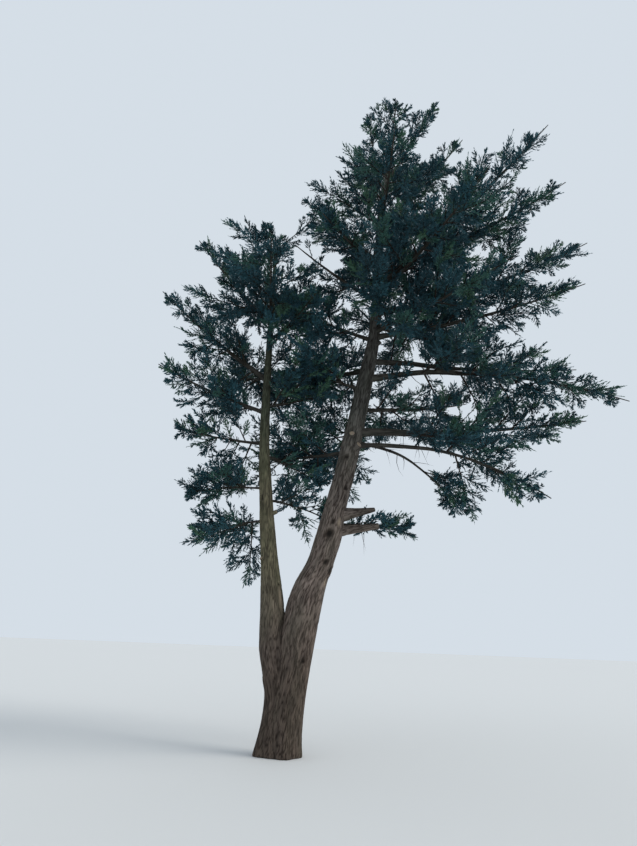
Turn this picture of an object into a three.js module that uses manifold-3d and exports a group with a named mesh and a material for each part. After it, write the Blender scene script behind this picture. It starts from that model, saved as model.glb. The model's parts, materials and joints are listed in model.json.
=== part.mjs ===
// A conifer that forks low into two stems, a thick one that leans out before it
// stands up and a slim upright one. Its limbs carry masses of feathery foliage.
// Millimetres, Z up, the ground at Z = 0, and the side that is looked at faces -Y.
// Bearings turn from +X towards +Y, and rises go up from level, both in degrees.
import * as THREE from 'three';
import { mergeVertices } from 'three/addons/utils/BufferGeometryUtils.js';
import Module from 'manifold-3d';

const wasm = await Module();
wasm.setup();

const gap = 0.3;
const forkHeight = 2000;
const flareShare = 0.24;
const flareHeight = 190;
const flareLobes = 5;
const tipRadius = 7;
const goldenAngle = 137.5;
const twigPitch = 740;
const sprayReach = 1.4;
const sprayTaper = 0.66;
const sprayWaist = 0.4;
const sprayWidth = 0.42;
const sprayThickness = 0.15;
const coreWidth = 0.5;
const coreThickness = 0.5;
const denseSpread = 450;
const fits = [1, 0.8, 0.62, 0.48, 0.36];
const sprayPlaces = [
  [0.12, 0],
  [sprayWaist, 1],
  [sprayWaist, -1],
  [sprayWaist, 0],
  [0.7, 0.5],
  [0.7, -0.5],
  [1, 0],
];

// Each bend of a stem is its height, x, y and radius.
const stems = {
  right: {
    top: 10150,
    bends: [
      [0, 30, 20, 225],
      [760, 95, 30, 228],
      [1850, 235, 30, 240],
      [2200, 325, 30, 222],
      [2500, 448, 30, 192],
      [2850, 550, 30, 190],
      [3250, 628, 30, 160],
      [3900, 780, 30, 150],
      [5150, 1020, 25, 124],
      [6200, 1190, 20, 90],
      [8500, 1290, 0, 58],
      [10150, 1470, 0, 20],
    ],
    stubs: [
      { height: 2930, bearing: 12, rise: 11, length: 760, radius: 80, tip: 40 },
      { height: 3170, bearing: 14, rise: 13, length: 660, radius: 98, tip: 27 },
      { height: 4120, bearing: -48, rise: 28, length: 235, radius: 48, tip: 46 },
      { height: 4330, bearing: -95, rise: 20, length: 185, radius: 40, tip: 38 },
      { height: 5850, bearing: -30, rise: 35, length: 190, radius: 30, tip: 28 },
    ],
  },
  left: {
    top: 7600,
    bends: [
      [0, -120, 50, 205],
      [740, -65, 50, 172],
      [1250, -160, 50, 176],
      [1850, -200, 65, 166],
      [2540, -285, 80, 124],
      [3100, -355, 100, 107],
      [4450, -475, 120, 74],
      [7600, -490, 150, 24],
    ],
    stubs: [
      { height: 3150, bearing: -20, rise: 20, length: 165, radius: 32, tip: 30 },
      { height: 2450, bearing: -140, rise: 25, length: 180, radius: 30, tip: 28 },
    ],
  },
};

// A limb runs from its stem at a height to the tip of its foliage, and is bare
// for a share of that reach. Where girth is 40 or more its bare part is a bough.
const limb = (name, stem, height, bearing, rise, reach, bare, arch, spread, girth) => (
  { name, stem, height, bearing, rise, reach, bare, arch, spread, girth }
);
const limbs = [
  limb('low_spray', 'right', 3050, 38, 7, 1750, 0.5, 0.02, 380, 26),
  limb('low', 'right', 4450, 2, 6, 3650, 0.38, 0.02, 800, 64),
  limb('low_drop', 'right', 4220, -9, -15, 2950, 0.46, -0.1, 680, 40),
  limb('low_hang', 'right', 4290, 20, -25, 2150, 0.6, -0.14, 420, 28),
  limb('inner', 'right', 4850, 26, 13, 2150, 0.2, 0.03, 760, 38),
  limb('long', 'right', 5350, -5, -5, 3960, 0.36, -0.06, 760, 52),
  limb('long_up', 'right', 5650, 13, 5.5, 3750, 0.34, 0.02, 520, 46),
  limb('front_low', 'right', 6150, 316, 9, 2450, 0.28, 0.02, 740, 38),
  limb('mid', 'right', 6050, -7, 15, 3450, 0.28, 0.03, 680, 46),
  limb('mid_up', 'right', 6500, 9, 26, 4350, 0.28, 0.04, 820, 48),
  limb('high_out', 'right', 7250, -3, 29.5, 3680, 0.22, 0.04, 760, 42),
  limb('high', 'right', 7000, -17, 43, 3880, 0.26, 0.03, 800, 44),
  limb('top_right', 'right', 8200, 18, 54, 2850, 0.14, 0.03, 500, 32),
  limb('top', 'right', 9000, -4, 62, 2000, 0.1, 0.02, 430, 24),
  limb('leader', 'right', 10150, 0, 83, 720, 0, 0, 240, 20),
  limb('top_left', 'right', 8550, 150, 82, 2150, 0.1, 0.02, 420, 24),
  limb('left_high', 'right', 7450, 166, 47, 1950, 0.22, 0.03, 580, 42),
  limb('left_in', 'right', 6700, 198, 27, 1600, 0.24, 0.03, 520, 34),
  limb('left_low', 'right', 5150, 168, 24, 1250, 0.2, 0.02, 760, 30),
  limb('left_mid', 'right', 6000, 184, 20, 1650, 0.2, 0.02, 720, 32),
  limb('left_back', 'right', 4150, 143, 4, 1850, 0.24, 0.02, 840, 32),
  limb('front_right', 'right', 6780, 300, 17, 2700, 0.2, 0.03, 780, 34),
  limb('front_top', 'right', 8000, 270, 9, 2100, 0.14, 0.03, 700, 30),
  limb('front_left', 'right', 7350, 232, 4, 1550, 0.2, 0.03, 620, 34),
  limb('back_low', 'right', 4650, 102, -3, 2300, 0.28, 0.03, 860, 39),
  limb('back_left', 'right', 5500, 128, 14, 2700, 0.26, 0.03, 900, 42),
  limb('back_mid', 'right', 6250, 54, 20, 3300, 0.26, 0.03, 820, 44),
  limb('back_high', 'right', 7500, 93, 31, 2750, 0.2, 0.03, 720, 36),
  limb('back_right', 'right', 7750, 48, 40, 2700, 0.18, 0.03, 700, 32),
  limb('back_top', 'right', 8900, 84, 50, 1900, 0.12, 0.03, 560, 26),
  limb('slim_leader', 'left', 7600, 180, 78, 580, 0, 0, 440, 24),
  limb('slim_high', 'left', 6300, 174, 50, 2100, 0.18, 0.03, 560, 36),
  limb('slim_up', 'left', 5300, 178, 40, 2400, 0.26, 0.03, 560, 40),
  limb('slim_mid', 'left', 4750, 188, 21, 1820, 0.28, 0.03, 540, 34),
  limb('slim_low', 'left', 4250, 164, 12, 1600, 0.3, 0.02, 500, 24),
  limb('slim_lower', 'left', 3560, 174, -4, 1200, 0.36, -0.03, 520, 17),
  limb('slim_lowest', 'left', 3080, 156, -9, 1150, 0.32, -0.03, 560, 19),
  limb('slim_right_low', 'left', 3380, 40, -6, 1250, 0.32, -0.04, 620, 19),
  limb('slim_right_mid', 'left', 4050, 52, 5, 1450, 0.26, 0.02, 760, 26),
  limb('slim_between', 'left', 4850, 16, 20, 1050, 0.2, 0.02, 700, 24),
  limb('slim_right', 'left', 6000, 28, 51, 1620, 0.2, 0.03, 800, 28),
  limb('slim_front_right', 'left', 5900, 304, 16, 1350, 0.22, 0.03, 520, 24),
  limb('slim_front', 'left', 6300, 272, 26, 1500, 0.2, 0.03, 700, 28),
  limb('slim_back', 'left', 5350, 110, 22, 2400, 0.22, 0.03, 820, 30),
  limb('slim_back_left', 'left', 6800, 150, 46, 1550, 0.2, 0.03, 640, 28),
];
limbs.forEach((row) => {
  row.isBough = row.girth >= 40;
});

const barkMaterial = new THREE.MeshStandardMaterial({ name: 'bark', color: 0x5f5046, roughness: 0.95 });
const needleMaterial = new THREE.MeshStandardMaterial({ name: 'needles', color: 0x2c4a3c, roughness: 0.8 });

const radians = THREE.MathUtils.degToRad;

// The same rule of seeded numbers deals every mass its twigs and sprays.
function dealer(seed) {
  let state = seed;
  return () => {
    state = (state * 16807) % 2147483647;
    return state / 2147483647;
  };
}

// A smooth reading of x, y and radius between a stem's bends.
function stemAt(stem, height) {
  const bends = stem.bends;
  const last = bends.length - 1;
  let k = 0;
  while (k < last - 1 && height > bends[k + 1][0]) {
    k += 1;
  }
  const span = bends[k + 1][0] - bends[k][0];
  const t = (height - bends[k][0]) / span;
  const slope = (i, column) => {
    const before = bends[Math.max(i - 1, 0)];
    const after = bends[Math.min(i + 1, last)];
    return (after[column] - before[column]) / (after[0] - before[0]);
  };
  return [1, 2, 3].map((column) => (
    (2 * t ** 3 - 3 * t ** 2 + 1) * bends[k][column]
    + (t ** 3 - 2 * t ** 2 + t) * span * slope(k, column)
    + (3 * t ** 2 - 2 * t ** 3) * bends[k + 1][column]
    + (t ** 3 - t ** 2) * span * slope(k + 1, column)
  ));
}

function flareAt(angle, height) {
  const lobe = 0.62 + 0.38 * Math.cos(flareLobes * angle + 0.6);
  return 1 + flareShare * lobe * Math.exp(-Math.max(height, 0) / flareHeight);
}

function direction(bearing, rise) {
  const level = Math.cos(radians(rise));
  return new THREE.Vector3(
    level * Math.cos(radians(bearing)),
    level * Math.sin(radians(bearing)),
    Math.sin(radians(rise)),
  );
}

function limbPoint(row, t) {
  const [x, y] = stemAt(stems[row.stem], row.height);
  const point = new THREE.Vector3(x, y, row.height);
  point.addScaledVector(direction(row.bearing, row.rise), row.reach * t);
  point.z -= 4 * row.arch * row.reach * t * (1 - t);
  return point;
}

function limbFrame(row, t) {
  const tangent = limbPoint(row, t + 0.01).sub(limbPoint(row, t - 0.01)).normalize();
  const reference = row.rise > 70 ? new THREE.Vector3(0, 1, 0) : new THREE.Vector3(0, 0, 1);
  const side = new THREE.Vector3().crossVectors(tangent, reference).normalize();
  const up = new THREE.Vector3().crossVectors(side, tangent);
  return { tangent, side, up };
}

const limbRadius = (row, t) => row.girth * (1 - t) + tipRadius * t;
const leaderLength = (row) => Math.min(Math.max(row.reach * 0.24, row.spread * 1.05), row.reach * 0.8);

function toSolid(geometry) {
  geometry.deleteAttribute('normal');
  geometry.deleteAttribute('uv');
  const merged = mergeVertices(geometry, 0.001);
  return new wasm.Manifold(new wasm.Mesh({
    numProp: 3,
    vertProperties: Float32Array.from(merged.attributes.position.array),
    triVerts: Uint32Array.from(merged.index.array),
  }));
}

// Carries each vertex of a closed cylinder or cone to a place: its angle, whether
// it is on the rim, and its share of the length say where.
function remapTube(geometry, place) {
  const position = geometry.attributes.position;
  for (let i = 0; i < position.count; i += 1) {
    const x = position.getX(i);
    const z = position.getZ(i);
    const rim = Math.hypot(x, z) > 0.001 ? 1 : 0;
    const point = place(Math.atan2(-z, x), rim, position.getY(i) + 0.5);
    position.setXYZ(i, point.x, point.y, point.z);
  }
  return toSolid(geometry);
}

function stemSolid(stem, low, high, sides, steps, extra = 0) {
  return remapTube(new THREE.CylinderGeometry(1, 1, 1, sides, steps), (angle, share, along) => {
    const height = low + (high - low) * along ** 1.25;
    const [x, y, radius] = stemAt(stem, height);
    const out = share * (radius * flareAt(angle, height) + extra);
    return new THREE.Vector3(x + out * Math.cos(angle), y + out * Math.sin(angle), height);
  });
}

function across(row, t, angle, wide, thick) {
  const { side, up } = limbFrame(row, t);
  return limbPoint(row, t)
    .addScaledVector(side, -wide * Math.cos(angle))
    .addScaledVector(up, thick * Math.sin(angle));
}

function boughSolid(row) {
  return remapTube(new THREE.CylinderGeometry(1, 1, 1, 7, 2), (angle, share, along) => {
    const t = row.bare * along;
    const out = share * limbRadius(row, t);
    return across(row, t, angle, out, out);
  });
}

// The stem of a mass runs on from its bough and ends in a flat pointed spray. In
// a dense mass it widens into a flat core that the sprays stand out of.
function coreSolid(row, from, fit) {
  const leader = 1 - leaderLength(row) / row.reach;
  const within = (share) => row.bare + (1 - row.bare) * share;
  const flat = (size) => [size * fit, size * fit * coreThickness];
  const stem = (t) => [limbRadius(row, t), limbRadius(row, t)];
  const slim = [
    [from, ...stem(from)],
    [(from + leader) / 2, ...stem(leader / 2)],
    [leader, ...stem(leader)],
    [leader + sprayWaist * (1 - leader), ...flat(leaderLength(row) * sprayWidth / 2)],
    [1, 0, 0],
  ];
  const dense = [
    [from, ...stem(from)],
    [within(0.08), ...stem(within(0.08))],
    [within(0.36), ...flat(row.spread * coreWidth)],
    [within(0.7), ...flat(row.spread * coreWidth * 0.62)],
    [1, 0, 0],
  ];
  const stations = row.spread < denseSpread ? slim : dense;
  return remapTube(new THREE.ConeGeometry(1, 1, 4, 4), (angle, share, along) => {
    const [t, wide, thick] = stations[Math.round(along * 4)];
    return across(row, t, angle, share * wide, share * thick);
  });
}

// The core is drawn slimmer until its edge keeps to the mass's own space.
function fitCore(row, own) {
  const places = [0.3, 0.36, 0.5, 0.7, 0.85].flatMap((share) => [[share, 0], [share, Math.PI]]);
  return fits.find((fit) => places.every(([share, angle]) => {
    const t = row.bare + (1 - row.bare) * share;
    const wide = row.spread * coreWidth * fit * (share < 0.4 ? 1 : 0.62 * (1 - share) / 0.3);
    const point = across(row, t, angle, Math.min(wide, row.spread * coreWidth * fit), 0);
    return inOwnSpace(point, own) && clearOfWood(point, own);
  })) ?? 0.28;
}

function rodSolid(start, heading, length, rootRadius, endRadius, sides) {
  const { side, up } = headingFrame(heading);
  return remapTube(new THREE.CylinderGeometry(1, 1, 1, sides, 1), (angle, share, along) => {
    const out = share * (rootRadius + (endRadius - rootRadius) * along);
    return start.clone()
      .addScaledVector(heading, length * along)
      .addScaledVector(side, -out * Math.cos(angle))
      .addScaledVector(up, out * Math.sin(angle));
  });
}

function headingFrame(heading) {
  const reference = Math.abs(heading.z) > 0.95 ? new THREE.Vector3(0, 1, 0) : new THREE.Vector3(0, 0, 1);
  const side = new THREE.Vector3().crossVectors(heading, reference).normalize();
  const up = new THREE.Vector3().crossVectors(side, heading);
  return { side, up };
}

// A spray of needles is a flat pointed blade of eight faces.
function spraySolid(spray) {
  const geometry = new THREE.OctahedronGeometry(1, 0);
  const position = geometry.attributes.position;
  const normal = new THREE.Vector3().crossVectors(spray.heading, spray.side);
  for (let i = 0; i < position.count; i += 1) {
    const end = Math.round(position.getX(i));
    const along = end > 0 ? 1 : end < 0 ? 0 : sprayWaist;
    const point = sprayPoint(spray, along, position.getY(i))
      .addScaledVector(normal, position.getZ(i) * spray.length * sprayThickness / 2);
    position.setXYZ(i, point.x, point.y, point.z);
  }
  return toSolid(geometry);
}

// A twig is a three-sided rod that widens into its own spray at the end.
function twigSolid(twig) {
  const { root, heading, side, stalk, length, radius } = twig;
  const normal = new THREE.Vector3().crossVectors(heading, side);
  const stations = [0, stalk, stalk + sprayWaist * length, stalk + length];
  return remapTube(new THREE.ConeGeometry(1, 1, 4, 3), (angle, share, along) => {
    const k = Math.round(along * 3);
    const wide = k === 2 ? length * sprayWidth / 2 : radius;
    const thick = k === 2 ? length * sprayThickness / 2 : radius;
    return root.clone()
      .addScaledVector(heading, stations[k])
      .addScaledVector(side, -share * wide * Math.cos(angle))
      .addScaledVector(normal, -share * thick * Math.sin(angle));
  });
}

function sprayPoint(spray, along, breadth) {
  return spray.root.clone()
    .addScaledVector(spray.heading, along * spray.length)
    .addScaledVector(spray.side, breadth * spray.length * sprayWidth / 2);
}

// Distances are taken to lines through a few points of each limb and stem.
const limbLines = limbs.map((row) => {
  const points = [];
  for (let i = 0; i <= 8; i += 1) {
    points.push(limbPoint(row, i / 8));
  }
  return points;
});
const stemLines = Object.values(stems).map((stem) => {
  const points = [];
  for (let i = 0; i <= 16; i += 1) {
    const [x, y] = stemAt(stem, stem.top * i / 16);
    points.push(new THREE.Vector3(x, y, stem.top * i / 16));
  }
  return points;
});

function lineDistance(point, line, from = 0) {
  let best = Infinity;
  const nearest = new THREE.Vector3();
  for (let i = from; i < line.length - 1; i += 1) {
    new THREE.Line3(line[i], line[i + 1]).closestPointToPoint(point, true, nearest);
    best = Math.min(best, nearest.distanceTo(point));
  }
  return best;
}

const foliageStart = (row) => Math.floor(row.bare * 8);

// A point belongs to the mass whose axis is nearest, wide masses reaching further.
function inOwnSpace(point, own) {
  const reachTo = (k) => lineDistance(point, limbLines[k], foliageStart(limbs[k])) - limbs[k].spread * 0.35;
  const ownDistance = reachTo(own);
  return limbs.every((row, k) => k === own || reachTo(k) > ownDistance + 16);
}

function clearOfWood(point, own) {
  const stemsClear = Object.values(stems).every((stem, k) => (
    lineDistance(point, stemLines[k]) > stemAt(stem, Math.min(point.z, stem.top))[2] + 45
  ));
  return stemsClear && limbs.every((row, k) => (
    k === own || lineDistance(point, limbLines[k]) > row.girth * 0.8 + 25
  ));
}

// Twigs turn round the mass's stem by the golden angle and close up towards its
// tip. Each twig ends in a spray and has others at its sides, and between the
// twigs single sprays stand on the stem.
function dealMass(row, own) {
  const deal = dealer(4001 + 977 * own);
  const sprays = [];
  const count = Math.max(2, Math.round(row.reach * (1 - row.bare) / twigPitch));
  const phase = 360 * deal();
  for (let i = 0; i < 2 * count; i += 1) {
    const t = 0.88 * (i + 0.3) / (2 * count);
    const at = row.bare + (1 - row.bare) * t;
    const { tangent, side, up } = limbFrame(row, at);
    const turn = radians(phase + goldenAngle * i);
    const opening = radians(68 - 38 * t);
    const heading = tangent.clone().multiplyScalar(Math.cos(opening))
      .addScaledVector(side, Math.cos(turn) * Math.sin(opening))
      .addScaledVector(up, Math.sin(turn) * Math.sin(opening) * 0.8);
    heading.z += 0.1;
    heading.normalize();
    const tilt = radians(-60 + 120 * deal());
    const level = headingFrame(heading);
    const fan = level.side.clone().multiplyScalar(Math.cos(tilt)).addScaledVector(level.up, Math.sin(tilt));
    const root = limbPoint(row, at);
    const size = row.spread * sprayReach * (1 - sprayTaper * t) * (0.85 + 0.3 * deal());
    const stalk = i % 2 === 0 ? row.spread * 0.42 * (1 - 0.5 * t) * (0.8 + 0.4 * deal()) : 0;
    const radius = Math.max(9, limbRadius(row, at) * 0.35);
    sprays.push({ root, heading, side: fan, stalk, length: size, radius, parent: -1 });
    if (stalk > 0) {
      const parent = sprays.length - 1;
      [44, -44].forEach((degrees, j) => {
        const lean = radians(degrees + 12 * (deal() - 0.5));
        sprays.push({
          root: root.clone().addScaledVector(heading, stalk * (0.95 - 0.4 * j)),
          heading: heading.clone().multiplyScalar(Math.cos(lean)).addScaledVector(fan, Math.sin(lean)),
          side: fan.clone().multiplyScalar(Math.cos(lean)).addScaledVector(heading, -Math.sin(lean)),
          stalk: 0,
          length: size * (0.72 + 0.2 * deal()),
          radius,
          parent,
        });
      });
    }
  }
  return sprays;
}

// A spray that would leave its mass's space or touch wood is drawn shorter, and
// left out where that isn't enough.
function fitSpray(spray, own) {
  return fits.map((share) => ({ ...spray, stalk: spray.stalk * share, length: spray.length * share }))
    .find((trial) => {
      const blade = { ...trial, root: trial.root.clone().addScaledVector(trial.heading, trial.stalk) };
      return sprayPlaces.every(([along, breadth]) => {
        const point = sprayPoint(blade, along, breadth);
        return inOwnSpace(point, own) && clearOfWood(point, own);
      });
    });
}

function keepLargest(solid) {
  const pieces = solid.decompose();
  return pieces.reduce((best, piece) => (piece.volume() > best.volume() ? piece : best));
}

const tree = new THREE.Group();
tree.name = 'forked_conifer';

function addNode(name, solid, material) {
  const { vertProperties, triVerts } = solid.getMesh();
  const geometry = new THREE.BufferGeometry();
  geometry.setAttribute('position', new THREE.BufferAttribute(Float32Array.from(vertProperties), 3));
  geometry.setIndex(new THREE.BufferAttribute(Uint32Array.from(triVerts), 1));
  geometry.computeVertexNormals();
  const mesh = new THREE.Mesh(geometry, material);
  mesh.name = name;
  tree.add(mesh);
}

// The butt joins both stems from the flat cut at the ground to the fork.
const butt = wasm.Manifold.union(Object.values(stems).map((stem) => (
  stemSolid(stem, -60, forkHeight + 60, 16, 8)
)));
addNode('trunk', butt.trimByPlane([0, 0, 1], 0).trimByPlane([0, 0, -1], -forkHeight), barkMaterial);

const fatStems = {};
Object.entries(stems).forEach(([name, stem]) => {
  const shaft = stemSolid(stem, forkHeight - 100, stem.top, 12, 12);
  const stubs = stem.stubs.map((stub) => {
    const [x, y] = stemAt(stem, stub.height);
    const heading = direction(stub.bearing, stub.rise);
    const start = new THREE.Vector3(x, y, stub.height);
    return rodSolid(start, heading, stub.length, stub.radius * 1.15, stub.tip, 8);
  });
  const solid = wasm.Manifold.union([shaft, ...stubs]).trimByPlane([0, 0, 1], forkHeight + gap);
  addNode(`${name}_stem`, solid, barkMaterial);
  fatStems[name] = stemSolid(stem, forkHeight - 100, stem.top + gap, 12, 12, gap * 1.1);
});

limbs.filter((row) => row.isBough).forEach((row) => {
  const bough = boughSolid(row).subtract(fatStems[row.stem]);
  addNode(`bough_${row.name}`, keepLargest(bough), barkMaterial);
});

limbs.forEach((row, k) => {
  const start = row.isBough ? row.bare + gap / row.reach : 0;
  let core = coreSolid(row, start, fitCore(row, k));
  if (!row.isBough) {
    core = core.subtract(fatStems[row.stem]);
  }
  const parts = [core];
  const kept = [];
  dealMass(row, k).forEach((spray) => {
    const fitted = spray.parent < 0 || kept[spray.parent] ? fitSpray(spray, k) : undefined;
    kept.push(fitted);
    if (fitted) {
      parts.push(fitted.stalk > 0 ? twigSolid(fitted) : spraySolid(fitted));
    }
  });
  addNode(`mass_${row.name}`, keepLargest(wasm.Manifold.union(parts)), needleMaterial);
});

export default tree;
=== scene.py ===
import json
import math
import bpy
import numpy as np
from mathutils import Matrix, Vector, noise

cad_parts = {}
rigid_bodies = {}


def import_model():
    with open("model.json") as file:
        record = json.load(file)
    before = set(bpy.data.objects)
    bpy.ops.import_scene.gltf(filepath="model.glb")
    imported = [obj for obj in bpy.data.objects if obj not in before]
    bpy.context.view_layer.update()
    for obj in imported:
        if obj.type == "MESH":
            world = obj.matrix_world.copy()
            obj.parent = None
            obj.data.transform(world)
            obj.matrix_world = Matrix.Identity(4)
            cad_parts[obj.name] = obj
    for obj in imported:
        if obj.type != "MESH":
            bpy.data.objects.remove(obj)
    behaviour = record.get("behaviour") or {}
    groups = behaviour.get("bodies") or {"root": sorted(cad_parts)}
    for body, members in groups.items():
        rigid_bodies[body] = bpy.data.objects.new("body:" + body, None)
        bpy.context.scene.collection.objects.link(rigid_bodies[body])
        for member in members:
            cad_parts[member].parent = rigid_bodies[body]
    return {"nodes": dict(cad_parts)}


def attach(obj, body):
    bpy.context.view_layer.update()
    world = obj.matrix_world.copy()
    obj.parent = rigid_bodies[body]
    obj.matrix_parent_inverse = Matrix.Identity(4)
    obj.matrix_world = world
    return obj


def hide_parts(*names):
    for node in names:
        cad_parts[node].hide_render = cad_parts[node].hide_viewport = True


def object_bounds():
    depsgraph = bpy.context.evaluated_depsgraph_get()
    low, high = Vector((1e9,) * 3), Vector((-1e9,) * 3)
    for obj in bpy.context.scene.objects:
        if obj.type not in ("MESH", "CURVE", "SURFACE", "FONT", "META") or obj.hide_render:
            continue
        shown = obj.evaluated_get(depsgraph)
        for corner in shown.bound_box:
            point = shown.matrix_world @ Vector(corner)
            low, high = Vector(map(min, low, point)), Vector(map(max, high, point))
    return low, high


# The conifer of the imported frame, dressed: bark with relief on its stems and
# limbs, and needles on twigs that grow on by the rule of the solids.
# The tables and the growing rule are in millimetres and degrees, meshes in metres.
toMetres = 0.001

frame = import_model()
cadLow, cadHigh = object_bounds()
print("frame loaded:", len(frame["nodes"]), "nodes")


# The camera stands where the picture was taken from.
viewFrom = {
    "place": (0.346, -9.2, 1.537),
    "pitch": 18.3,
    "roll": 2.2,
    "lens": 27.06,
    "sensor": 36,
    "clipEnd": 200,
}


def makeCamera():
    pitch = math.radians(viewFrom["pitch"])
    roll = math.radians(viewFrom["roll"])
    forward = Vector((0, math.cos(pitch), math.sin(pitch)))
    level = Vector((1, 0, 0))
    upright = level.cross(forward)
    right = level * math.cos(roll) + upright * math.sin(roll)
    up = upright * math.cos(roll) - level * math.sin(roll)
    bpy.ops.object.camera_add(location=viewFrom["place"])
    camera = bpy.context.object
    camera.name = "viewCamera"
    turn = Matrix((right, up, -forward)).transposed().to_4x4()
    camera.matrix_world = Matrix.Translation(viewFrom["place"]) @ turn
    camera.data.sensor_width = viewFrom["sensor"]
    camera.data.lens = viewFrom["lens"]
    camera.data.clip_end = viewFrom["clipEnd"]
    bpy.context.scene.camera = camera


makeCamera()


def newMaterial(name, roughness=0.5):
    material = bpy.data.materials.new(name)
    material.use_nodes = True
    shader = material.node_tree.nodes["Principled BSDF"]
    shader.inputs["Roughness"].default_value = roughness
    return material, material.node_tree, shader


studio = {
    "sky": (0.70, 0.77, 0.84),
    "skyStrength": 0.95,
    "sunPlace": (12, -2, 14),
    "sunTurn": (54, 0, 78),
    "sunColour": (1.0, 0.97, 0.92),
    "sunStrength": 2.0,
    "sunAngle": 32,
    "floor": (0.62, 0.63, 0.63),
    "floorSize": 120,
    "floorRoughness": 0.9,
}


def makeStudio():
    world = bpy.data.worlds.new("paleStudio")
    world.use_nodes = True
    background = world.node_tree.nodes["Background"]
    background.inputs["Color"].default_value = (*studio["sky"], 1)
    background.inputs["Strength"].default_value = studio["skyStrength"]
    bpy.context.scene.world = world
    bpy.context.scene.view_settings.view_transform = "Standard"

    bpy.ops.object.light_add(type="SUN", location=studio["sunPlace"],
                             rotation=[math.radians(turn) for turn in studio["sunTurn"]])
    sun = bpy.context.object
    sun.name = "softSun"
    sun.data.energy = studio["sunStrength"]
    sun.data.angle = math.radians(studio["sunAngle"])
    sun.data.color = studio["sunColour"]

    bpy.ops.mesh.primitive_plane_add(size=studio["floorSize"], location=(0, 0, 0))
    floor = bpy.context.object
    floor.name = "studioFloor"
    paint, _, shader = newMaterial("floorPaint", studio["floorRoughness"])
    shader.inputs["Base Color"].default_value = (*studio["floor"], 1)
    floor.data.materials.append(paint)


makeStudio()
print("camera, light and floor made")


def linear(red, green, blue):
    channels = []
    for value in (red, green, blue):
        value /= 255
        channels.append(value / 12.92 if value <= 0.04045 else ((value + 0.055) / 1.055) ** 2.4)
    return (*channels, 1)


# Adds a shader node, sets or links its inputs, and gives back one of its outputs.
def addNode(tree, kind, output, inputs, **settings):
    node = tree.nodes.new("ShaderNode" + kind)
    for name, value in settings.items():
        setattr(node, name, value)
    for name, value in inputs.items():
        if isinstance(value, bpy.types.NodeSocket):
            tree.links.new(value, node.inputs[name])
        else:
            node.inputs[name].default_value = value
    return node.outputs[output]


def addAttribute(tree, name, output):
    return addNode(tree, "Attribute", output, {}, attribute_name=name)


def addRange(tree, value, fromMin, fromMax, toMin=0, toMax=1):
    return addNode(tree, "MapRange", "Result", {
        "Value": value, "From Min": fromMin, "From Max": fromMax, "To Min": toMin, "To Max": toMax,
    })


def addMath(tree, operation, *values):
    return addNode(tree, "Math", "Value", dict(enumerate(values)), operation=operation)


def addMix(tree, factor, first, second, blend="MIX"):
    return addNode(tree, "Mix", "Result", {"Factor": factor, "A": first, "B": second},
                   data_type="RGBA", blend_type=blend)


def addBump(tree, height, strength, distance):
    return addNode(tree, "Bump", "Normal", {"Height": height, "Strength": strength, "Distance": distance})


barkNoise = {
    "strips": {"Detail": 3, "Roughness": 0.6, "Distortion": 0.35},
    "fibre": {"Scale": 150, "Detail": 6, "Roughness": 0.68},
    "blotch": {"Scale": 5.5, "Detail": 4},
    "mottle": {"Scale": 17, "Detail": 5, "Roughness": 0.62},
}
barkPattern = {
    "stripHeight": 0.42,
    "reliefHeight": 0.5,
    "fibreHeight": 0.3,
    "fissureBelow": 0.26,
    "ridgeAbove": 0.98,
    "algae": (0.46, 0.68),  # from none to all, in the blotches
    "flakes": (0.36, 0.62, 0.62, 1.2),
    "hollowShade": 0.22,
    # Pale healed wood, also used for a painted highlight on the slim stem's fork edge.
    "healedAndHighlight": (158, 142, 122),
    "rough": (0.98, 0.82),  # in a fissure and on a ridge
}
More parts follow.
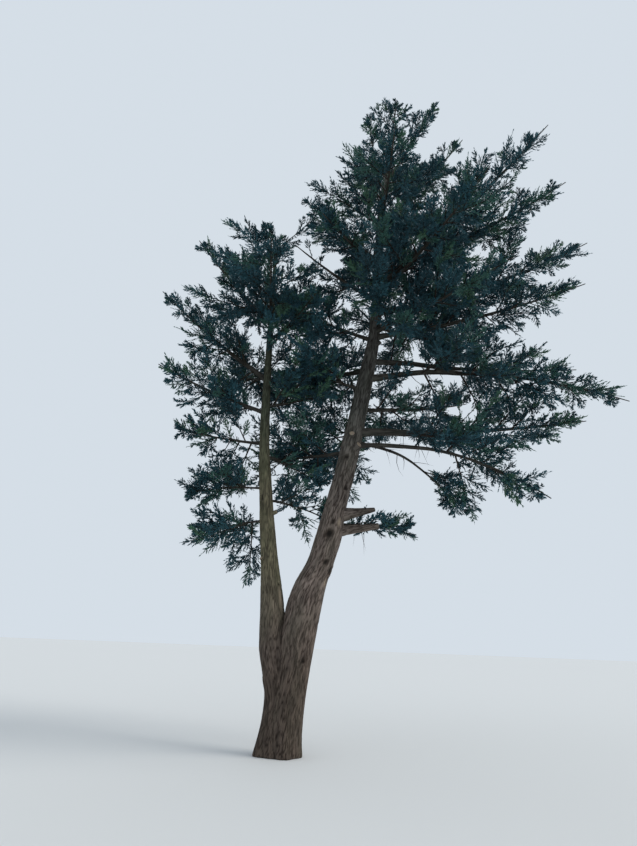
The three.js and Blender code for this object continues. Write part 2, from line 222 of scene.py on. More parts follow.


# Bark reads two attributes of its piece: barkPlace, the offset from the axis with
# the length along it drawn in, and barkDepth, 1 on a ridge, 0 in a fissure and -1
# in a hollow, where shade is painted dark. A stem also has barkPale, 1 where bare
# wood has healed over, and on the slim stem's fork edge also where a highlight is
# painted.
def makeBarkGroup():
    group = bpy.data.node_groups.new("barkPattern", "ShaderNodeTree")
    for way, kind, socketNames in (
        ("INPUT", "NodeSocketColor", ("Ridge", "Fissure", "Algae")),
        ("INPUT", "NodeSocketFloat", ("Algae Amount", "Scale")),
        ("OUTPUT", "NodeSocketColor", ("Color",)),
        ("OUTPUT", "NodeSocketFloat", ("Roughness", "Height")),
    ):
        for socketName in socketNames:
            group.interface.new_socket(name=socketName, in_out=way, socket_type=kind)
    given = group.nodes.new("NodeGroupInput").outputs
    place = addAttribute(group, "barkPlace", "Vector")
    depth = addAttribute(group, "barkDepth", "Fac")
    pale = addAttribute(group, "barkPale", "Fac")

    look = barkPattern
    strips, fibre, blotch, mottle = (
        addNode(group, "TexNoise", "Fac", {"Vector": place, **values}) for values in barkNoise.values()
    )
    strips.node.noise_type = "RIDGED_MULTIFRACTAL"
    group.links.new(given["Scale"], strips.node.inputs["Scale"])
    relief = addMath(group, "MULTIPLY", depth, look["reliefHeight"])
    lift = addMath(group, "MULTIPLY_ADD", strips, look["stripHeight"], relief)
    height = addMath(group, "MULTIPLY_ADD", fibre, look["fibreHeight"], lift)

    ramp = addNode(group, "ValToRGB", "Color", {"Fac": height})
    edges = ramp.node.color_ramp.elements
    edges[0].position, edges[1].position = look["fissureBelow"], look["ridgeAbove"]
    body = addMix(group, ramp, given["Fissure"], given["Ridge"])
    patch = addRange(group, blotch, *look["algae"])
    share = addMath(group, "MULTIPLY", patch, given["Algae Amount"])
    tinted = addMix(group, share, body, given["Algae"])
    flakes = addRange(group, mottle, *look["flakes"])
    # Painted shade: the bark is darkened in a knot's hollow.
    hollow = addRange(group, depth, -1, 0, look["hollowShade"])
    dim = addMath(group, "MULTIPLY", flakes, hollow)
    mottledAndShaded = addNode(group, "VectorMath", "Vector", {0: tinted, "Scale": dim}, operation="SCALE")
    # Pale healed wood, and on the slim stem's fork edge a painted highlight.
    scarredAndLit = addMix(group, pale, mottledAndShaded, linear(*look["healedAndHighlight"]))

    result = group.nodes.new("NodeGroupOutput").inputs
    group.links.new(scarredAndLit, result["Color"])
    group.links.new(addRange(group, height, 0, 1, *look["rough"]), result["Roughness"])
    group.links.new(height, result["Height"])
    return group


barkGroup = makeBarkGroup()

barkTones = {
    "brown": {"Ridge": (140, 126, 117), "Fissure": (64, 54, 48), "Algae": (94, 89, 78)},
    "olive": {"Ridge": (126, 119, 95), "Fissure": (66, 61, 49), "Algae": (97, 99, 73)},
    "limb": {"Ridge": (80, 77, 70), "Fissure": (44, 42, 39), "Algae": (60, 67, 60)},
}

# The foot and the crown are heights from no darkening to all of it, in metres.
# At the foot the darkening is partly damp bark and partly painted shade; in the
# crown it is painted shade, cool and bluish.
barkLooks = {
    "right": {"name": "barkBrown", "tone": "brown", "footTone": "brown", "scale": 26,
              "footDampAndShade": 0.72, "crown": (2.8, 4.8), "crownShade": 0.74},
    "left": {"name": "barkOlive", "tone": "olive", "footTone": "brown", "scale": 30,
             "footDampAndShade": 0.72, "crown": (3.4, 4.8), "crownShade": 0.76},
    "limb": {"name": "barkLimb", "tone": "limb", "footTone": "limb", "scale": 34,
             "footDampAndShade": 0, "crown": (19, 20), "crownShade": 0},
    "algaeAmount": 0.5,
    "foot": (2.2, 0.9),
    "footBlend": (2.4, 1.3),
    # Multiplied in at the foot: damp bark and painted shade.
    "footDampShadeTint": (0.34, 0.305, 0.25, 1),
    # Multiplied in up in the crown: painted shade, cool and bluish.
    "crownShadeTint": (0.3, 0.44, 0.48, 1),
    "bump": (0.9, 0.012),
    "specular": 0.25,
}


# The foot of both stems has one bark. It is darker towards the ground, partly as
# damper bark and partly as painted shade, and dark and cool again up in the crown,
# as painted shade.
def makeBark(kind):
    look = barkLooks[kind]
    material, tree, shader = newMaterial(look["name"])
    where = addNode(tree, "TexCoord", "Object", {})
    height = addNode(tree, "SeparateXYZ", "Z", {"Vector": where})
    lower = addRange(tree, height, *barkLooks["footBlend"])
    pattern = tree.nodes.new("ShaderNodeGroup")
    pattern.node_tree = barkGroup
    pattern.inputs["Algae Amount"].default_value = barkLooks["algaeAmount"]
    pattern.inputs["Scale"].default_value = look["scale"]
    for socketName, colour in barkTones[look["tone"]].items():
        foot = barkTones[look["footTone"]][socketName]
        tree.links.new(addMix(tree, lower, linear(*colour), linear(*foot)), pattern.inputs[socketName])
    # Damp bark and painted shade: darker towards the ground.
    dampAndShade = addRange(tree, height, *barkLooks["foot"], 0, look["footDampAndShade"])
    dampAndShaded = addMix(tree, dampAndShade, pattern.outputs["Color"], barkLooks["footDampShadeTint"], "MULTIPLY")
    # Painted shade: darker and cooler up in the crown.
    shaded = addRange(tree, height, *look["crown"], 0, look["crownShade"])
    crownShaded = addMix(tree, shaded, dampAndShaded, barkLooks["crownShadeTint"], "MULTIPLY")
    tree.links.new(crownShaded, shader.inputs["Base Color"])
    tree.links.new(pattern.outputs["Roughness"], shader.inputs["Roughness"])
    tree.links.new(addBump(tree, pattern.outputs["Height"], *barkLooks["bump"]), shader.inputs["Normal"])
    shader.inputs["Specular IOR Level"].default_value = barkLooks["specular"]
    return material


barks = {kind: makeBark(kind) for kind in ("right", "left", "limb")}

cutLook = {
    "pale": (166, 148, 130),
    "dark": (134, 113, 94),
    "rings": {"Scale": 38, "Distortion": 1.4, "Detail Scale": 1.2},
    "stainScale": 30,
    "stain": 0.4,
    "bump": (0.4, 0.002),
    "roughness": 0.8,
}


def makeCutWood():
    material, tree, shader = newMaterial("cutWood", cutLook["roughness"])
    place = addAttribute(tree, "barkPlace", "Vector")
    rings = addNode(tree, "TexWave", "Fac", {"Vector": place, **cutLook["rings"]},
                    wave_type="RINGS", rings_direction="Z")
    stain = addNode(tree, "TexNoise", "Color", {"Vector": place, "Scale": cutLook["stainScale"]})
    wood = addMix(tree, rings, linear(*cutLook["pale"]), linear(*cutLook["dark"]))
    tree.links.new(addMix(tree, cutLook["stain"], wood, stain, "MULTIPLY"), shader.inputs["Base Color"])
    tree.links.new(addBump(tree, rings, *cutLook["bump"]), shader.inputs["Normal"])
    return material


cutWood = makeCutWood()


# Needles and twigs are plain colours, dealt out by spray.
def makePlain(name, colour, roughness, specular):
    material, _, shader = newMaterial(name, roughness)
    shader.inputs["Base Color"].default_value = linear(*colour)
    shader.inputs["Specular IOR Level"].default_value = specular
    return material


needleTones = [
    # The deepest tone is dealt most within the crown, as painted shade.
    makePlain("needlesDeepShade", (34, 69, 78), 0.62, 0.3),
    makePlain("needlesBlue", (46, 87, 97), 0.58, 0.32),
    makePlain("needlesGreen", (55, 94, 85), 0.56, 0.34),
    makePlain("needlesFresh", (68, 105, 84), 0.55, 0.35),
]
twigTones = {
    "right": makePlain("twigBrown", (46, 41, 37), 0.85, 0.2),
    "left": makePlain("twigOlive", (47, 45, 38), 0.85, 0.2),
}
print("finishes made")


# Stems and limbs follow the rule of the solids, with the same values.

goldenAngle = 137.5
tipRadius = 7

# Each bend of a stem is its height, x, y and radius. A stub is its height,
# bearing, rise, length from the axis, and radius at the axis and at its end. A
# burr is its height, bearing, width and how far it stands out. A knot, a hollow
# with painted shade in it, is its height, bearing, width and depth. A scar, healed
# and pale, is its height, bearing, width and length; the tall one on the slim
# stem's fork edge is partly a painted highlight.
stems = {
    "right": {
        "top": 10150,
        "bends": [
            (0, 30, 20, 225), (760, 95, 30, 228), (1850, 235, 30, 240), (2200, 325, 30, 222),
            (2500, 448, 30, 192), (2850, 550, 30, 190), (3250, 628, 30, 160), (3900, 780, 30, 150),
            (5150, 1020, 25, 124), (6200, 1190, 20, 90), (8500, 1290, 0, 58), (10150, 1470, 0, 20),
        ],
        "stubs": [
            (2930, 12, 11, 760, 80, 46), (3170, 14, 13, 660, 98, 34), (4120, -48, 28, 235, 48, 46),
            (4330, -95, 20, 185, 40, 38), (5850, -30, 35, 190, 30, 28),
        ],
        "burrs": [
            (760, -70, 110, 26), (1500, -120, 90, 18), (1960, -40, 100, 22), (2480, -100, 80, 20),
            (3420, -75, 90, 24), (3720, -20, 80, 18), (4700, -110, 70, 16), (5300, -60, 60, 14),
            (2250, 80, 110, 24), (3300, 130, 90, 20), (5050, 60, 70, 16),
        ],
        "knots": [
            (2890, -90, 62, 26), (3060, -84, 30, 12), (2490, -66, 42, 18), (2380, -20, 58, 20),
            (1180, -60, 30, 10), (3560, -62, 34, 12), (4030, -100, 36, 12), (3780, 70, 44, 16),
            (2700, 120, 50, 20),
        ],
        "scarsAndHighlight": [(3060, -52, 34, 60), (2210, -32, 22, 60)],
    },
    "left": {
        "top": 7600,
        "bends": [
            (0, -120, 50, 205), (740, -65, 50, 172), (1250, -160, 50, 176), (1850, -200, 65, 166),
            (2540, -285, 80, 124), (3100, -355, 100, 107), (4450, -475, 120, 74),
            (7600, -490, 150, 24),
        ],
        "stubs": [(3150, -20, 20, 165, 32, 30), (2450, -140, 25, 180, 30, 28)],
        "burrs": [
            (900, -150, 90, 18), (1700, -100, 80, 14), (2750, -80, 60, 12), (3600, -60, 55, 10),
            (1300, 150, 90, 18), (2900, 110, 60, 12),
        ],
        "knots": [(2160, -40, 24, 8), (3400, -120, 26, 8), (2750, 60, 30, 10)],
        # This tall pale strip on the fork edge is partly a painted highlight along a lit edge.
        "scarsAndHighlight": [(1960, -38, 34, 170)],
    },
}

# Each row has the values named in limbFields.
rightLimbs = [
    ("low_spray", 3050, 38, 7, 1750, 0.5, 0.02, 380, 26),
    ("low", 4450, 2, 6, 3650, 0.38, 0.02, 800, 64),
    ("low_drop", 4220, -9, -15, 2950, 0.46, -0.1, 680, 40),
    ("low_hang", 4290, 20, -25, 2150, 0.6, -0.14, 420, 28),
    ("inner", 4850, 26, 13, 2150, 0.2, 0.03, 760, 38),
    ("long", 5350, -5, -5, 3960, 0.36, -0.06, 760, 52),
    ("long_up", 5650, 13, 5.5, 3750, 0.34, 0.02, 520, 46),
    ("front_low", 6150, 316, 9, 2450, 0.28, 0.02, 740, 38),
    ("mid", 6050, -7, 15, 3450, 0.28, 0.03, 680, 46),
    ("mid_up", 6500, 9, 26, 4350, 0.28, 0.04, 820, 48),
    ("high_out", 7250, -3, 29.5, 3680, 0.22, 0.04, 760, 42),
    ("high", 7000, -17, 43, 3880, 0.26, 0.03, 800, 44),
    ("top_right", 8200, 18, 54, 2850, 0.14, 0.03, 500, 32),
    ("top", 9000, -4, 62, 2000, 0.1, 0.02, 430, 24),
    ("leader", 10150, 0, 83, 720, 0, 0, 240, 20),
    ("top_left", 8550, 150, 82, 2150, 0.1, 0.02, 420, 24),
    ("left_high", 7450, 166, 47, 1950, 0.22, 0.03, 580, 42),
    ("left_in", 6700, 198, 27, 1600, 0.24, 0.03, 520, 34),
    ("left_low", 5150, 168, 24, 1250, 0.2, 0.02, 760, 30),
    ("left_mid", 6000, 184, 20, 1650, 0.2, 0.02, 720, 32),
    ("left_back", 4150, 143, 4, 1850, 0.24, 0.02, 840, 32),
    ("front_right", 6780, 300, 17, 2700, 0.2, 0.03, 780, 34),
    ("front_top", 8000, 270, 9, 2100, 0.14, 0.03, 700, 30),
    ("front_left", 7350, 232, 4, 1550, 0.2, 0.03, 620, 34),
    ("back_low", 4650, 102, -3, 2300, 0.28, 0.03, 860, 39),
    ("back_left", 5500, 128, 14, 2700, 0.26, 0.03, 900, 42),
    ("back_mid", 6250, 54, 20, 3300, 0.26, 0.03, 820, 44),
    ("back_high", 7500, 93, 31, 2750, 0.2, 0.03, 720, 36),
    ("back_right", 7750, 48, 40, 2700, 0.18, 0.03, 700, 32),
    ("back_top", 8900, 84, 50, 1900, 0.12, 0.03, 560, 26),
]
leftLimbs = [
    ("slim_leader", 7600, 180, 78, 580, 0, 0, 440, 24),
    ("slim_high", 6300, 174, 50, 2100, 0.18, 0.03, 560, 36),
    ("slim_up", 5300, 178, 40, 2400, 0.26, 0.03, 560, 40),
    ("slim_mid", 4750, 188, 21, 1820, 0.28, 0.03, 540, 34),
    ("slim_low", 4250, 164, 12, 1600, 0.3, 0.02, 500, 24),
    ("slim_lower", 3560, 174, -4, 1200, 0.36, -0.03, 520, 17),
    ("slim_lowest", 3080, 156, -9, 1150, 0.32, -0.03, 560, 19),
    ("slim_right_low", 3380, 40, -6, 1250, 0.32, -0.04, 620, 19),
    ("slim_right_mid", 4050, 52, 5, 1450, 0.26, 0.02, 760, 26),
    ("slim_between", 4850, 16, 20, 1050, 0.2, 0.02, 700, 24),
    ("slim_right", 6000, 28, 51, 1620, 0.2, 0.03, 800, 28),
    ("slim_front_right", 5900, 304, 16, 1350, 0.22, 0.03, 520, 24),
    ("slim_front", 6300, 272, 26, 1500, 0.2, 0.03, 700, 28),
    ("slim_back", 5350, 110, 22, 2400, 0.22, 0.03, 820, 30),
    ("slim_back_left", 6800, 150, 46, 1550, 0.2, 0.03, 640, 28),
]
limbFields = ("name", "height", "bearing", "rise", "reach", "bare", "arch", "spread", "girth")
limbs = [dict(zip(limbFields, row), stem=stem)
         for stem, rows in (("right", rightLimbs), ("left", leftLimbs)) for row in rows]


# The same rule of seeded numbers that deals the solids their twigs.
def dealer(state, factor=16807, modulus=2147483647):
    def deal():
        nonlocal state
        state = state * factor % modulus
        return state / modulus
    return deal


def stemAt(stem, height):
    bends = stem["bends"]
    last = len(bends) - 1
    k = 0
    while k < last - 1 and height > bends[k + 1][0]:
        k += 1
    span = bends[k + 1][0] - bends[k][0]
    t = (height - bends[k][0]) / span

    def slope(i, column):
        before, after = bends[max(i - 1, 0)], bends[min(i + 1, last)]
        return (after[column] - before[column]) / (after[0] - before[0])
    return [
        (2 * t ** 3 - 3 * t ** 2 + 1) * bends[k][column]
        + (t ** 3 - 2 * t ** 2 + t) * span * slope(k, column)
        + (3 * t ** 2 - 2 * t ** 3) * bends[k + 1][column]
        + (t ** 3 - t ** 2) * span * slope(k + 1, column)
        for column in (1, 2, 3)
    ]


flare = {"lobes": 5, "lobeTurn": 0.6, "lobeDepth": 0.38, "amount": 0.24, "fade": 190}


def flareAt(angle, height):
    wave = math.cos(flare["lobes"] * angle + flare["lobeTurn"])
    lobe = 1 - flare["lobeDepth"] + flare["lobeDepth"] * wave
    return 1 + flare["amount"] * lobe * math.exp(-max(height, 0) / flare["fade"])


def unit(vector):
    return vector / np.linalg.norm(vector)


def direction(bearing, rise):
    turn, lift = math.radians(bearing), math.radians(rise)
    return np.array((math.cos(lift) * math.cos(turn), math.cos(lift) * math.sin(turn), math.sin(lift)))


def limbPoint(row, t):
    x, y, _ = stemAt(stems[row["stem"]], row["height"])
    point = np.array((x, y, row["height"])) + direction(row["bearing"], row["rise"]) * row["reach"] * t
    point[2] -= 4 * row["arch"] * row["reach"] * t * (1 - t)
    return point


def crossFrame(heading, reference):
    side = unit(np.cross(heading, reference))
    return side, np.cross(side, heading)


def limbFrame(row, t):
    tangent = unit(limbPoint(row, t + 0.01) - limbPoint(row, t - 0.01))
    side, up = crossFrame(tangent, (0, 1, 0) if row["rise"] > 70 else (0, 0, 1))
    return tangent, side, up


def headingFrame(heading):
    return crossFrame(heading, (0, 1, 0) if abs(heading[2]) > 0.95 else (0, 0, 1))


def openBy(opening, s):
    atFoot, less = opening
    return atFoot - less * s


# A heading that opens away from the first of three directions and turns round it.
def leanOut(threeWays, opening, turn, level=1):
    tangent, side, up = threeWays
    return (tangent * math.cos(opening) + side * math.cos(turn) * math.sin(opening)
            + up * math.sin(turn) * math.sin(opening) * level)


# A direction across a heading, up to 60 degrees off level.
def dealFan(heading, deal):
    tilt = math.radians(-60 + 120 * deal())
    side, up = headingFrame(heading)
    return side * math.cos(tilt) + up * math.sin(tilt)


def limbRadius(row, t):
    return row["girth"] * (1 - t) + tipRadius * t


def selectOnly(*pieces):
    bpy.ops.object.select_all(action="DESELECT")
    for piece in pieces:
        piece.select_set(True)
        bpy.context.view_layer.objects.active = pieces[0]


def roundOff(piece, levels):
    rounding = piece.modifiers.new("rounding", "SUBSURF")
    rounding.levels = rounding.render_levels = levels
    bpy.ops.object.modifier_apply(modifier=rounding.name)


rimInset = 0.06


# A straight closed tube of radius 1 and height 1, ring by ring, rounded by
# subdivision, with its end faces inset so that their rims stay crisp.
def makeTube(name, sides, steps, levels):
    selectOnly()
    bpy.ops.mesh.primitive_circle_add(vertices=sides, radius=1, fill_type="NGON", location=(0, 0, 0))
    tube = bpy.context.object
    tube.name = tube.data.name = name
    bpy.ops.object.mode_set(mode="EDIT")
    bpy.ops.mesh.select_mode(type="FACE")
    bpy.ops.mesh.select_all(action="SELECT")
    bpy.ops.mesh.inset(thickness=rimInset)
    bpy.ops.mesh.select_all(action="SELECT")
    for _ in range(steps):
        bpy.ops.mesh.extrude_region_move(TRANSFORM_OT_translate={"value": (0, 0, 1 / steps)})
    bpy.ops.mesh.select_all(action="SELECT")
    bpy.ops.mesh.normals_make_consistent(inside=False)
    bpy.ops.object.mode_set(mode="OBJECT")
    if levels:
        roundOff(tube, levels)
    return tube


# The points of a tube, with their share of its radius, their angle round it and
# how far along it they lie.
def readTube(piece):
    points = np.empty(len(piece.data.vertices) * 3)
    piece.data.vertices.foreach_get("co", points)
    points = points.reshape(-1, 3)
    share = np.hypot(points[:, 0], points[:, 1])
    angles = np.arctan2(points[:, 1], points[:, 0])
    along = (points[:, 2] - points[:, 2].min()) / np.ptp(points[:, 2])
    return points, share / share.max(), angles, along


def writePoints(piece, points):
    piece.data.vertices.foreach_set("co", (points * toMetres).ravel())
    piece.data.update()


def writeBark(piece, place, **values):
    attribute = piece.data.attributes.new("barkPlace", "FLOAT_VECTOR", "POINT")
    attribute.data.foreach_set("vector", place.ravel())
    for name, numbers in values.items():
        attribute = piece.data.attributes.new(name, "FLOAT", "POINT")
        attribute.data.foreach_set("value", numbers)


barkWeave = {
    "fine": (2.1, 2.1, 1.6),
    "fineAmount": 0.45,
    "fissure": 0.24,
    "lump": (0.22, 0.22, 0.3),
}


# Long interlacing ridges: 0 in a fissure and 1 on a ridge, with loose lumps.
def barkRelief(place, scale):
    coarse = place * scale
    fine = coarse * barkWeave["fine"] + (9, 0, 0)
    lump = coarse * barkWeave["lump"] + (0, 7, 0)
    weave, finer, lumps = (
        np.array([noise.noise(point) for point in points]) for points in (coarse, fine, lump)
    )
    weave += barkWeave["fineAmount"] * finer
    return np.minimum(1, abs(weave) / barkWeave["fissure"]), lumps


stemLook = {
    "right": {"sides": 40, "steps": 80, "depth": 8, "lumps": 9, "scale": 30},
    "left": {"sides": 32, "steps": 50, "depth": 6, "lumps": 7, "scale": 34},
    "drawIn": 4.5,  # how much shorter the bark's pattern is along the stem
    "level": 0.75,  # between fissure and ridge, where the true radius lies
    "fullRelief": 120,  # a radius; the relief is weaker on thinner wood
    "leastRelief": 0.25,
    "burrTall": 0.75,
    "rimAt": 1.3,  # of a knot's width
    "rimWidth": 0.5,
    "rimHeight": 0.7,  # of its depth
    "hollowWidth": 0.95,
    "leastRadius": 4,
}


def makeStem(name):
    stem, look = stems[name], stemLook[name]
    piece = makeTube(f"bark_{name}_stem", look["sides"], look["steps"], 2)
    _, share, angles, along = readTube(piece)
    heights = stem["top"] * along
    axis = np.array([stemAt(stem, h) for h in heights])
    radius = axis[:, 2] * np.array([flareAt(a, h) for a, h in zip(angles, heights)])
    offset = np.column_stack((np.cos(angles), np.sin(angles)))
    place = np.column_stack((offset * radius[:, None], heights / stemLook["drawIn"])) * toMetres
    ridges, lumps = barkRelief(place, look["scale"])
    thin = np.clip(axis[:, 2] / stemLook["fullRelief"], stemLook["leastRelief"], 1)
    out = ((ridges - stemLook["level"]) * look["depth"] + lumps * look["lumps"]) * thin

    def aside(bearing):
        turn = (angles - math.radians(bearing) + math.pi) % (2 * math.pi) - math.pi
        return np.abs(turn) * radius

    for height, bearing, width, rise in stem["burrs"]:
        near = np.hypot(aside(bearing), (heights - height) * stemLook["burrTall"])
        out += rise * np.exp(-(near / width) ** 2) * (1 + 0.5 * lumps)
    for height, bearing, width, sink in stem["knots"]:
        near = np.hypot(aside(bearing), heights - height) / width
        rim = np.exp(-((near - stemLook["rimAt"]) / stemLook["rimWidth"]) ** 2)
        out += sink * (stemLook["rimHeight"] * rim - np.exp(-near ** 2))
        # In a knot's hollow barkDepth goes to -1, where the bark is painted dark as shade.
        hollow = np.exp(-(near / stemLook["hollowWidth"]) ** 4)
        ridges = ridges * (1 - hollow) - hollow
    bare = np.zeros(len(out))
    # Pale scars; the slim stem's tall one is partly a painted highlight.
    for height, bearing, width, tall in stem["scarsAndHighlight"]:
        near = np.hypot(aside(bearing) / width, (heights - height) / tall)
        bare = np.maximum(bare, np.exp(-near ** 4) * (0.75 + 0.25 * lumps))
    out = np.maximum(radius + out, stemLook["leastRadius"]) * share
    writePoints(piece, np.column_stack((axis[:, :2] + offset * out[:, None], heights)))
    writeBark(piece, place, barkDepth=ridges, barkPale=bare)
    piece.data.materials.append(barks[name])
    return piece


stubLook = {
    "sides": 10,
    "steps": 6,
    "rim": 0.08,
    "letIn": 0.02,
    "scale": 26,
    "level": 0.8,
    "depth": 0.07,
    "lumps": 0.1,
    "foot": 1.12,  # of the stub's radius
    "collar": 0.5,
    "collarLength": 1.6,  # of the stub's radius
}


# A sawn stub: its end is inset and let in a little, so that a rim of bark stands
# round the pale wood, and a collar swells where it leaves the stem.
def makeStub(name, stub, stemName):
    height, bearing, rise, length, radius, tip = stub
    piece = makeTube(name, stubLook["sides"], stubLook["steps"], 0)
    bpy.ops.object.mode_set(mode="EDIT")
    bpy.ops.mesh.select_all(action="DESELECT")
    bpy.ops.object.mode_set(mode="OBJECT")
    for face in piece.data.polygons:
        face.select = face.normal.z > 0.9 and face.center.z > 0.99
    bpy.ops.object.mode_set(mode="EDIT")
    bpy.ops.mesh.inset(thickness=stubLook["rim"])
    bpy.ops.transform.translate(value=(0, 0, -stubLook["letIn"]))
    bpy.ops.object.mode_set(mode="OBJECT")
    for face in piece.data.polygons:
        face.material_index = int(face.select)
    roundOff(piece, 2)
    local, share, _, _ = readTube(piece)
    along = local[:, 2] / local[:, 2].max()
    drawnIn = local[:, 2] * length / stemLook["drawIn"]
    place = np.column_stack((local[:, :2] * radius, drawnIn)) * toMetres
    ridges, lumps = barkRelief(place + height * toMetres, stubLook["scale"])
    swell = (stubLook["foot"] + (tip / radius - stubLook["foot"]) * along
             + stubLook["collar"] * np.exp(-along * length / (radius * stubLook["collarLength"])))
    edge = np.clip((share - 0.8) / 0.15, 0, 1)
    relief = (ridges - stubLook["level"]) * stubLook["depth"] + lumps * stubLook["lumps"]
    scale = radius * (swell + edge * relief)
    heading = direction(bearing, rise)
    side, up = headingFrame(heading)
    x, y, _ = stemAt(stems[stemName], height)
    writePoints(piece, np.array((x, y, height)) + np.outer(local[:, 2] * length, heading)
                + np.outer(local[:, 0] * scale, side) + np.outer(local[:, 1] * scale, up))
    writeBark(piece, place, barkDepth=ridges)
    piece.data.materials.append(barks[stemName])
    piece.data.materials.append(cutWood)
    return piece


def finishPiece(piece, nodes, slot):
    selectOnly(piece)
    if slot != "needles":
        bpy.ops.object.shade_smooth_by_angle(angle=math.radians(50))
    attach(piece, "root")
    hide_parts(*nodes)


woodSlots = {"right": "bark", "left": "slim_bark"}

for stemName, stem in stems.items():
    stubs = [makeStub(f"stub_{stemName}_{i}", stub, stemName) for i, stub in enumerate(stem["stubs"])]
    stemPiece = makeStem(stemName)
    selectOnly(stemPiece, *stubs)
    bpy.ops.object.join()
    finishPiece(stemPiece, [f"{stemName}_stem", "trunk"], woodSlots[stemName])
    print("stem made:", stemName, len(stemPiece.data.polygons), "faces")


limbLook = {
    "sides": 10,
    "steps": 14,
    "boughGirth": 40,  # from this girth on, the solids have a bough
    "collar": 0.35,
    "collarLength": 1.2,  # of the stem's radius
    "drawIn": 7,
    "scale": 34,
    "level": 0.8,
    "depth": 0.09,
    "lumps": 0.16,
    "wander": 0.6,  # of the girth
    "turns": 9,
}


# One limb runs from inside its stem to the tip of its foliage, a little uneven
# where it is bare.
def makeLimb(row, own):
    thick = row["girth"] >= limbLook["boughGirth"]
    piece = makeTube(f"limb_{row['name']}", limbLook["sides"], limbLook["steps"], 2 if thick else 1)
    _, share, angles, along = readTube(piece)
    radius = np.array([limbRadius(row, t) for t in along])
    stemRadius = stemAt(stems[row["stem"]], row["height"])[2]
    outside = along * row["reach"] / (stemRadius * limbLook["collarLength"])
    collar = 1 + limbLook["collar"] * np.exp(-outside ** 2)
    circle = np.column_stack((np.cos(angles), np.sin(angles)))
    drawnIn = along * row["reach"] / limbLook["drawIn"]
    place = np.column_stack((circle * radius[:, None], drawnIn)) * toMetres
    ridges, lumps = barkRelief(place + own * 0.37, limbLook["scale"])
    relief = (ridges - limbLook["level"]) * limbLook["depth"] + lumps * limbLook["lumps"]
    out = share * radius * (collar + relief)
    bend = np.clip(along / max(row["bare"], 0.05), 0, 1)
    sway = np.sin(math.pi * bend) * np.sin(limbLook["turns"] * along + own)
    sway *= row["girth"] * limbLook["wander"]
    points = np.empty((len(along), 3))
    for i, t in enumerate(along):
        _, side, up = limbFrame(row, t)
        points[i] = (limbPoint(row, t) + side * (circle[i, 0] * out[i] + sway[i])
                     + up * (circle[i, 1] * out[i] + 0.5 * sway[i]))
    writePoints(piece, points)
    writeBark(piece, place, barkDepth=ridges)
    piece.data.materials.append(barks["limb"])
    nodes = [f"mass_{row['name']}"] + ([f"bough_{row['name']}"] if thick else [])
    finishPiece(piece, nodes, woodSlots[row["stem"]])


for own, row in enumerate(limbs):
    makeLimb(row, own)
print("limbs made:", len(limbs))


# Foliage follows the rule of the solids, carried on to finer twigs.
rule = {
    "twigPitch": 740,
    "lastTwig": 0.88,
    "opening": (68, 38),  # at the foot, and how much less at the tip
    "flatness": 0.8,
    "stalk": 0.42,  # of the mass's spread
    "sprayReach": 1.4,
    "sprayTaper": 0.66,
    "sprayWidth": 0.42,
    "sideSprays": ((44, 0.95), (-44, 0.55)),  # lean, and place on the stalk
    "fits": (1, 0.8, 0.62, 0.48, 0.36),
    "spaceShare": 0.35,  # how far a mass's spread widens its space
    "stemClear": 45,
    "limbClear": 25,
}
limbParts = 8
stemParts = 16

limbLines = np.array([[limbPoint(row, i / limbParts) for i in range(limbParts + 1)] for row in limbs])
stemLines = np.array([
    [(*stemAt(stem, height)[:2], height) for height in np.linspace(0, stem["top"], stemParts + 1)]
    for stem in stems.values()
])
foliageStart = [math.floor(row["bare"] * limbParts) for row in limbs]
spreads = np.array([row["spread"] for row in limbs])
girths = np.array([row["girth"] for row in limbs])


# Distances, one row for each point and one column for each line.
def lineDistances(points, lines, starts=()):
    a, b = lines[:, :-1], lines[:, 1:]
    step = b - a
    away = points[:, None, None, :] - a[None]
    t = np.clip((away * step).sum(-1) / (step * step).sum(-1), 0, 1)
    distance = np.linalg.norm(away - t[..., None] * step, axis=-1)
    for k, start in enumerate(starts):
        distance[:, k, :start] = np.inf
    return distance.min(-1)


# A point belongs to the mass whose axis is nearest, wide masses reaching further.
def inOwnSpace(points, own, margin=16):
    reachTo = lineDistances(points, limbLines, foliageStart) - spreads * rule["spaceShare"]
    others = np.delete(reachTo, own, axis=1).min(axis=1)
    return others > reachTo[:, own] + margin


def clearOfStems(points, margin=rule["stemClear"]):
    distance = lineDistances(points, stemLines)
    clear = np.ones(len(points), bool)
    for k, stem in enumerate(stems.values()):
        radius = np.array([stemAt(stem, min(z, stem["top"]))[2] for z in points[:, 2]])
        clear &= distance[:, k] > radius + margin
    return clear


def clearOfWood(points, own):
    distance = lineDistances(points, limbLines)
    distance[:, own] = np.inf
    return clearOfStems(points) & (distance > girths * 0.8 + rule["limbClear"]).all(axis=1)


